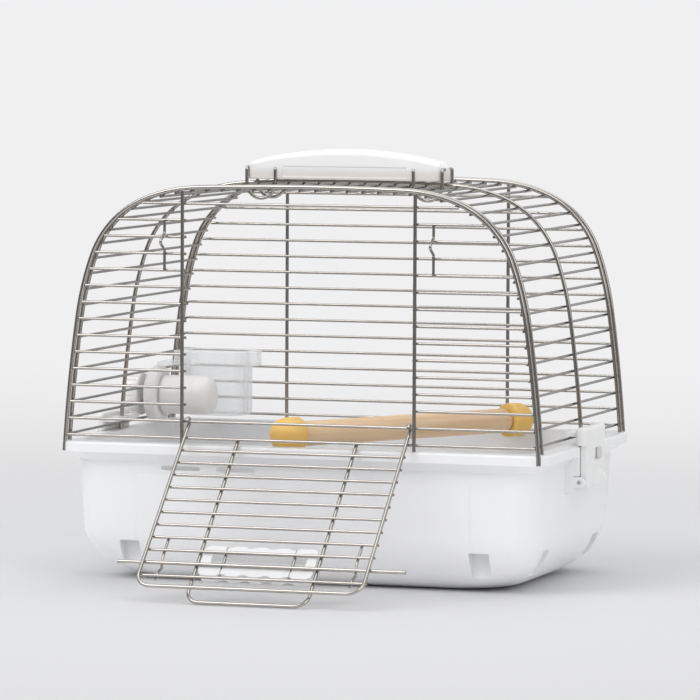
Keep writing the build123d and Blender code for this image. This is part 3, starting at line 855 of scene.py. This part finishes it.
@dataclass
class Perch:
    """Wooden dowel between two soft caps."""

    coats: dict
    front: tuple = (-0.0149, -0.09463, 0.109)
    back: tuple = (0.1008, 0.09463, 0.109)
    cap_radius: float = 0.0125
    cap_open: float = 0.0105
    socket_depth: float = 0.013
    socket_radius: float = 0.00733
    end_radius: float = 0.00725
    middle_radius: float = 0.009
    neck: float = 0.004
    lip: float = 0.0012
    chamfer: float = 0.0008
    seat_gap: float = 0.0001
    nose_steps: tuple = (6, 14, 24, 34, 45, 56, 67, 78, 90)
    sides: int = 64

    def build(self) -> None:
        """Makes the dowel and its caps."""
        run = Vector(self.back) - Vector(self.front)
        turn = math.atan2(run.y, run.x)
        length = run.length
        inner = self.cap_open - self.socket_depth + self.seat_gap
        profile = [
            (inner, self.end_radius - self.chamfer),
            (inner + self.chamfer, self.end_radius),
            (self.cap_open, self.end_radius),
            (self.cap_open + self.neck / 2, (self.end_radius + self.middle_radius) / 2),
            (self.cap_open + self.neck, self.middle_radius),
        ]
        profile += [(length - x, radius) for x, radius in reversed(profile)]
        dowel = Bench("dowel_turning", self.coats[Dress.WOOD]).turned(profile, self.sides)
        dowel.place(self.front, turn).done("perch", "perch_wood", "perch_dowel")
        for name, spot, way in (
            ("front", self.front, turn),
            ("back", self.back, turn + math.pi),
        ):
            cap = Bench(f"{name}_cap_moulding", self.coats[Dress.RUBBER])
            cap.turned(self._cap_profile(), self.sides)
            cap.place(spot, way).done("cage", "cap_rubber", f"{name}_perch_cap")

    def _cap_profile(self) -> list:
        """A cap's profile, from its nose round its lip to its socket's floor.

        Returns:
            Places along X and radii.
        """
        nose = [
            (-self.cap_radius * math.cos(a), self.cap_radius * math.sin(a))
            for a in map(math.radians, self.nose_steps)
        ]
        return nose + [
            (self.cap_open - self.lip, self.cap_radius),
            (self.cap_open - self.lip * 0.3, self.cap_radius - self.lip * 0.35),
            (self.cap_open, self.cap_radius - self.lip),
            (self.cap_open, self.socket_radius + self.lip * 0.5),
            (self.cap_open - self.lip * 0.5, self.socket_radius),
            (self.cap_open - self.socket_depth, self.socket_radius),
        ]


@dataclass
class FeederClamp:
    """Nut, flange and knob that clamp the cup's holder through the side wires.

    An edge is a table of rows from the face inwards, each a setback along X and how far
    the radius stays below the full one.
    """

    coats: dict
    sides: int = 72
    flutes: int = 24
    flute_rim: float = 0.0002
    flute_sink: float = 0.0007
    flute_end: float = 0.002
    hub_dish: float = 0.0012
    hub_shares: tuple = (0.55, 0.56, 0.66)
    nut_outer: tuple = ((0.0, 0.0022), (0.0006, 0.0009), (0.002, 0.0))
    nut_inner: tuple = ((0.0, 0.0015), (0.0006, 0.0006), (0.002, 0.0))
    flange_outer: tuple = ((0.0, 0.003), (0.001, 0.0012), (0.003, 0.0))
    flange_inner: tuple = (
        (0.0008, 0.0054),
        (0.0, 0.0048),
        (0.0, 0.0026),
        (0.001, 0.0009),
        (0.003, 0.0),
    )
    flange_dish: float = 0.0008
    flange_shares: tuple = (0.62, 0.58)
    knob_edge: float = 0.0012
    knob_groove: tuple = ((0.006, 0.0), (0.0055, 0.0004), (0.005, 0.0))
    nose_round: float = 0.008
    nose_steps: tuple = (0, 15, 30, 45, 60, 75, 90)
    nose_tip: float = 0.0004
    nose_share: float = 0.3

    def build(self) -> None:
        """Makes the three turned pieces."""
        self._nut()
        self._flange()
        self._knob()

    def _turned(self, name: str, node: str, profile: list) -> Bench:
        """Turns a piece on the node's axis.

        Args:
            name: the piece's name.
            node: the CAD node that it stands for.
            profile: places along X and radii.

        Returns:
            The bench with the piece in its place.
        """
        low, high = corners(node)
        middle = (low + high) / 2
        bench = Bench(name, self.coats[Dress.FEEDER]).turned(profile, self.sides)
        return bench.place((0, middle.y, middle.z))

    def _edges(self, low: Vector, high: Vector, outer: tuple, inner: tuple) -> list:
        """A profile's rim, from the outer face to the inner one.

        Args:
            low: the lowest corner of the node's box.
            high: its highest corner.
            outer: the outer edge's table.
            inner: the inner edge's table.

        Returns:
            Places along X and radii.
        """
        radius = (high.z - low.z) / 2
        rim = [(low.x + back, radius - less) for back, less in outer]
        return rim + [(high.x - back, radius - less) for back, less in reversed(inner)]

    def _nut(self) -> None:
        """The fluted outer nut."""
        low, high = corners("feeder_clamp_nut")
        radius = (high.z - low.z) / 2
        middle = (low + high) / 2
        dish, step, foot = self.hub_shares
        profile = [
            (low.x + self.hub_dish, radius * dish),
            (low.x + self.hub_dish, radius * step),
            (low.x, radius * foot),
            *self._edges(low, high, self.nut_outer, self.nut_inner),
        ]
        bench = self._turned("nut_moulding", "feeder_clamp_nut", profile)
        pitch = 2 * math.pi / self.flutes
        flute = 2 * math.pi / self.sides

        def in_flute(spot: Vector, way: Vector) -> bool:
            """Whether a face is one of the flutes' on the rim.

            Args:
                spot: the face's middle.
                way: its normal.

            Returns:
                Yes or no.
            """
            turn = math.atan2(spot.z - middle.z, spot.y - middle.y) % pitch
            on_rim = low.x + self.flute_end < spot.x < high.x - self.flute_end
            return abs(way.x) < 0.05 and on_rim and turn < flute

        bench.pick(Pick.FACES, in_flute)
        bench.inset(self.flute_rim, -self.flute_sink, single=True)
        bench.done("feeder_nut", "feeder_plastic", "feeder_clamp_nut")

    def _flange(self) -> None:
        """The broad flange inside the wires."""
        low, high = corners("feeder_clamp_flange")
        radius = (high.z - low.z) / 2
        floor, hub = self.flange_shares
        profile = [
            *self._edges(low, high, self.flange_outer, self.flange_inner),
            (high.x - self.flange_dish, radius * floor),
            (high.x, radius * hub),
        ]
        bench = self._turned("flange_moulding", "feeder_clamp_flange", profile)
        bench.done("cage", "feeder_plastic", "feeder_clamp_flange")

    def _knob(self) -> None:
        """The round-nosed knob that faces into the cage."""
        low, high = corners("feeder_clamp_knob")
        radius = (high.z - low.z) / 2
        nose = self.nose_round
        profile = [(low.x, radius - self.knob_edge), (low.x + self.knob_edge, radius)]
        profile += [(high.x - nose - back, radius - less) for back, less in self.knob_groove]
        profile += [
            (high.x - nose * (1 - math.sin(a)), radius - nose * (1 - math.cos(a)))
            for a in map(math.radians, self.nose_steps)
        ]
        profile += [(high.x - self.nose_tip, radius * self.nose_share)]
        bench = self._turned("knob_moulding", "feeder_clamp_knob", profile)
        bench.done("cage", "feeder_plastic", "feeder_clamp_knob")


@dataclass
class Cup:
    """Clear feeding cup with a turned-over lip and a tongue that sits on the clamp."""

    coats: dict
    lip: float = 0.0065
    lip_drop: float = 0.011
    wall: float = 0.002
    corner: float = 0.015
    tongue_width: float = 0.012
    tongue_height: float = 0.003
    tongue_seat: float = 0.012
    tongue_round: float = 0.004
    tongue_soft: float = 0.0006
    depth: float = 0.048
    floor_taper: float = 0.94
    foot_round: float = 0.004
    edge_soft: float = 0.0008

    def build(self) -> None:
        """Makes the cup."""
        low, high = corners("feeder_cup")
        lip_front = high.y - self.depth
        base_low = Vector((low.x + self.lip, lip_front + self.lip, low.z))
        skirt = high.z - self.lip_drop
        base_high = Vector((high.x - self.lip, high.y - self.lip, skirt))
        size = base_high - base_low
        middle = (base_low + base_high) / 2
        bench = Bench("cup_moulding", self.coats[Dress.CLEAR]).block(base_low, base_high)
        bench.pick(Pick.EDGES, lambda _, way: abs(way.z) > 0.9).round(self.corner, 10)
        bench.pick(Pick.FACES, lambda _, way: way.z > 0.9).push((0, 0, 0))
        bench.scale((*self._grow(size), 1), (middle.x, middle.y, skirt))
        bench.push((0, 0, self.lip_drop))
        bench.inset(self.lip + self.wall)
        bench.push((0, 0, -(high.z - low.z - self.wall)))
        bench.scale((self.floor_taper, self.floor_taper, 1), (middle.x, middle.y, low.z))
        bench.pick(Pick.EDGES, lambda co, way: near(co.z, low.z) and abs(way.z) < 0.1)
        bench.round(self.foot_round, 4)
        bench.soften(self.edge_soft, 3, 40.0)
        seat = lip_front + self.tongue_seat
        tongue_low = Vector((low.x, low.y, skirt + self.lip * 0.25))
        tongue_high = Vector((low.x + self.tongue_width, seat, tongue_low.z + self.tongue_height))
        tongue = Bench("cup_tongue", self.coats[Dress.CLEAR]).block(tongue_low, tongue_high)
        tongue.pick(Pick.EDGES, lambda co, way: abs(way.z) > 0.9 and near(co.y, low.y))
        tongue.round(self.tongue_round, 5).soften(self.tongue_soft, 2, 30.0)
        bench.join(tongue).done("feeder_cup_body", "cup_plastic", "feeder_cup")

    def _grow(self, size: Vector) -> tuple:
        """How much wider the lip is than the body, along X and Y."""
        return (1 + 2 * self.lip / size.x, 1 + 2 * self.lip / size.y)


# ---------------------------------------------------------------- studio
@dataclass(frozen=True)
class Lamp:
    """A square soft lamp that looks at the middle of the object."""

    name: str
    spot: tuple
    size: float
    power: float
    aim: tuple = (0, 0, 0.15)

    def hang(self) -> None:
        """Hangs the lamp."""
        data = bpy.data.lights.new(self.name, "AREA")
        data.size = self.size
        data.energy = self.power
        lamp = bpy.data.objects.new(self.name, data)
        aim = Vector(self.aim) - Vector(self.spot)
        turn = aim.to_track_quat("-Z", "Y").to_matrix().to_4x4()
        lamp.matrix_world = Matrix.Translation(self.spot) @ turn
        bpy.context.collection.objects.link(lamp)


LAMPS = (
    Lamp("key", (-1.6, -2.2, 2.6), 2.4, 55.0),
    Lamp("fill", (2.4, -1.6, 1.6), 2.2, 22.0),
    Lamp("top", (0.2, 0.6, 2.8), 2.6, 30.0),
)


@dataclass
class Studio:
    """Pale floor, backdrop, soft lamps and the camera."""

    lens: float = 267.43
    eye: tuple = (1.18608, -3.60159, 0.42005)
    azimuth: float = 18.21
    elevation: float = 3.86
    roll: float = 0.26
    sensor: float = 36.0
    sight: float = 30.0
    floor_size: float = 48.0
    wall_place: float = 12.0
    wall_height: float = 5.0
    wall_bend: float = 2.0
    floor_colour: tuple = (0.86, 0.86, 0.865)
    floor_seen: tuple = (0.66, 0.66, 0.665)
    floor_far: tuple = (0.70, 0.695, 0.705)
    wall_seen: tuple = (0.87, 0.87, 0.88)
    floor_roughness: float = 0.75
    rough_swing: float = 0.1
    lit_ring: tuple = (0.25, 1.3)
    deep_reach: tuple = (-0.4, 2.2)
    distant_ring: tuple = (1.6, 3.6)
    gloss_dark: float = 0.7
    sky: tuple = (0.93, 0.94, 0.96, 1.0)
    room_light: float = 0.60
    back_light: float = 0.90
    room_dark: float = 0.78
    dark_turn: tuple = (0.15, -0.5)
    dark_level: tuple = (0.75, 0.3)

    def build(self) -> None:
        """Makes everything round the object."""
        self._camera()
        self._floor()
        for lamp in LAMPS:
            lamp.hang()
        self._world()
        bpy.context.scene.view_settings.view_transform = "Standard"

    def _camera(self) -> None:
        """Places the camera."""
        turn, tilt, roll = (math.radians(a) for a in (self.azimuth, self.elevation, self.roll))
        right = Vector((math.cos(turn), math.sin(turn), 0.0))
        ahead = Vector(
            (
                -math.sin(turn) * math.cos(tilt),
                math.cos(turn) * math.cos(tilt),
                -math.sin(tilt),
            )
        )
        up = right.cross(ahead)
        side = right * math.cos(roll) + up * math.sin(roll)
        top = up * math.cos(roll) - right * math.sin(roll)
        data = bpy.data.cameras.new("camera")
        data.lens = self.lens
        data.sensor_width = self.sensor
        data.clip_end = self.sight
        camera = bpy.data.objects.new("camera", data)
        basis = Matrix((side, top, -ahead)).transposed().to_4x4()
        camera.matrix_world = Matrix.Translation(self.eye) @ basis
        bpy.context.collection.objects.link(camera)
        bpy.context.scene.camera = camera

    def _floor(self) -> None:
        """Lays a pale sweep: a floor that rises into a back wall far behind."""
        back = self.wall_place
        bpy.ops.mesh.primitive_plane_add(size=self.floor_size, location=(0, 0, 0))
        sweep = bpy.context.object
        sweep.name = "studio_sweep"
        bpy.ops.object.mode_set(mode="EDIT")
        bpy.ops.mesh.select_all(action="SELECT")
        bpy.ops.mesh.bisect(plane_co=(0, back, 0), plane_no=(0, 1, 0), clear_outer=True)
        bpy.ops.mesh.select_mode(type="EDGE")
        mesh = bmesh.from_edit_mesh(sweep.data)
        for edge in mesh.edges:
            edge.select = all(near(v.co.y, back, 0.01) for v in edge.verts)
        bmesh.update_edit_mesh(sweep.data)
        rise = {"value": (0, 0, self.wall_height)}
        bpy.ops.mesh.extrude_region_move(TRANSFORM_OT_translate=rise)
        for edge in mesh.edges:
            edge.select = all(
                near(v.co.y, back, 0.01) and near(v.co.z, 0.0) for v in edge.verts
            )
        bmesh.update_edit_mesh(sweep.data)
        bpy.ops.mesh.bevel(offset=self.wall_bend, segments=24, affect="EDGES")
        bpy.ops.object.mode_set(mode="OBJECT")
        bpy.ops.object.shade_smooth()
        sweep.data.materials.append(self._sweep_paint())

    def _sweep_paint(self) -> bpy.types.Material:
        """The sweep's paint: lit near the object, an even pale tone far from it.

        Returns:
            The material.
        """
        recipe = Recipe("studio_sweep")
        cloud = recipe.noise(1.2, 1.0)
        seen, gloss, clear = (recipe.ray(kind) for kind in ("Camera", "Glossy", "Transmission"))
        recipe.set(
            Base_Color=recipe.blend(seen, self.floor_colour, self.floor_seen),
            Roughness=around(self.floor_roughness, cloud, self.rough_swing),
        )
        length = {"operation": "LENGTH"}
        away = recipe.node("ShaderNodeVectorMath", length, {0: recipe.place}, "Value")
        far = recipe.rise(away, *self.lit_ring)
        deep = recipe.rise(recipe.axis(recipe.place, "Y"), *self.deep_reach)
        distant = recipe.rise(away, *self.distant_ring)
        pale = 1.0 - (1.0 - deep) * (1.0 - distant)
        glow = recipe.node(
            "ShaderNodeEmission",
            None,
            {
                "Color": recipe.blend(pale, self.floor_far, self.wall_seen),
                "Strength": 1.0 - gloss * (1.0 - deep) * self.gloss_dark,
            },
        )
        lit = Signal(recipe, recipe.shader.outputs[0])
        inputs = {0: far * (clear + gloss + seen), 1: lit, 2: glow}
        mixed = recipe.node("ShaderNodeMixShader", None, inputs)
        recipe.feed(recipe.tree.nodes["Material Output"].inputs["Surface"], mixed)
        return recipe.material

    def _world(self) -> None:
        """Sets the pale surroundings, darker in reflections on the camera's side."""
        world = bpy.data.worlds.new("surroundings")
        world.use_nodes = True
        bpy.context.scene.world = world
        sheet = Sheet(world.node_tree)
        camera, clear, gloss = (sheet.ray(kind) for kind in ("Camera", "Transmission", "Glossy"))
        way = sheet.node("ShaderNodeTexCoord", output="Generated")
        forward = sheet.rise(sheet.axis(way, "Y"), *self.dark_turn)
        level = sheet.rise(sheet.axis(way, "Z"), *self.dark_level)
        dark = forward * level * gloss * self.room_dark
        seen = camera + clear + gloss
        strength = self.room_light + seen * (self.back_light - self.room_light) - dark
        back = sheet.tree.nodes["Background"]
        sheet.feed(back.inputs["Strength"], strength)
        back.inputs["Color"].default_value = self.sky


# ---------------------------------------------------------------- main
FINISHES = {
    Dress.WIRE: BrightWire(),
    Dress.TUB: TubPlastic(),
    Dress.GRIP: GripPlastic(),
    Dress.FROSTED: ClearPlastic("frosted_plastic", (0.93, 0.93, 0.93), 0.72, 0.3),
    Dress.WHITE: MouldedPlastic("white_plastic", (0.84, 0.84, 0.83), (0.81, 0.81, 0.80), 0.28),
    Dress.FEEDER: MouldedPlastic("feeder_plastic", (0.87, 0.86, 0.845), (0.83, 0.815, 0.80), 0.3),
    Dress.CLEAR: ClearPlastic(),
    Dress.WOOD: TurnedWood(),
    Dress.RUBBER: SoftRubber(),
}

SLOT_DRESS = {
    "tub_plastic": Dress.TUB,
    "handle_plastic": Dress.WHITE,
    "clip_plastic": Dress.WHITE,
    "cage_wire": Dress.WIRE,
    "pin_steel": Dress.WIRE,
    "cap_rubber": Dress.RUBBER,
    "perch_wood": Dress.WOOD,
    "feeder_plastic": Dress.FEEDER,
    "cup_plastic": Dress.CLEAR,
}

NODE_DRESS = {"latch_pull": Dress.FROSTED}


def paint_nodes(frame: dict, coats: dict) -> None:
    """Gives every CAD node its finish.

    Args:
        coats: the finish for each name in Dress.
    """
    slots = {s["node"]: s["material_slot"] for s in frame["record"]["subparts"]}
    for name, piece in frame["nodes"].items():
        piece.data.materials.clear()
        dress = NODE_DRESS.get(name, SLOT_DRESS[slots[name]])
        piece.data.materials.append(coats[dress])
        log.info("dressed %s", name)


def main() -> None:
    """Builds the scene."""
    logging.basicConfig(level=logging.INFO)
    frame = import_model()
    bpy.ops.object.select_all(action="DESELECT")
    coats = {dress: finish.make() for dress, finish in FINISHES.items()}
    paint_nodes(frame, coats)
    for part in (Handle, Perch, FeederClamp, Cup):
        part(coats).build()
        log.info("finished %s", part.__name__)
    Studio().build()


if __name__ == "__main__":
    main()
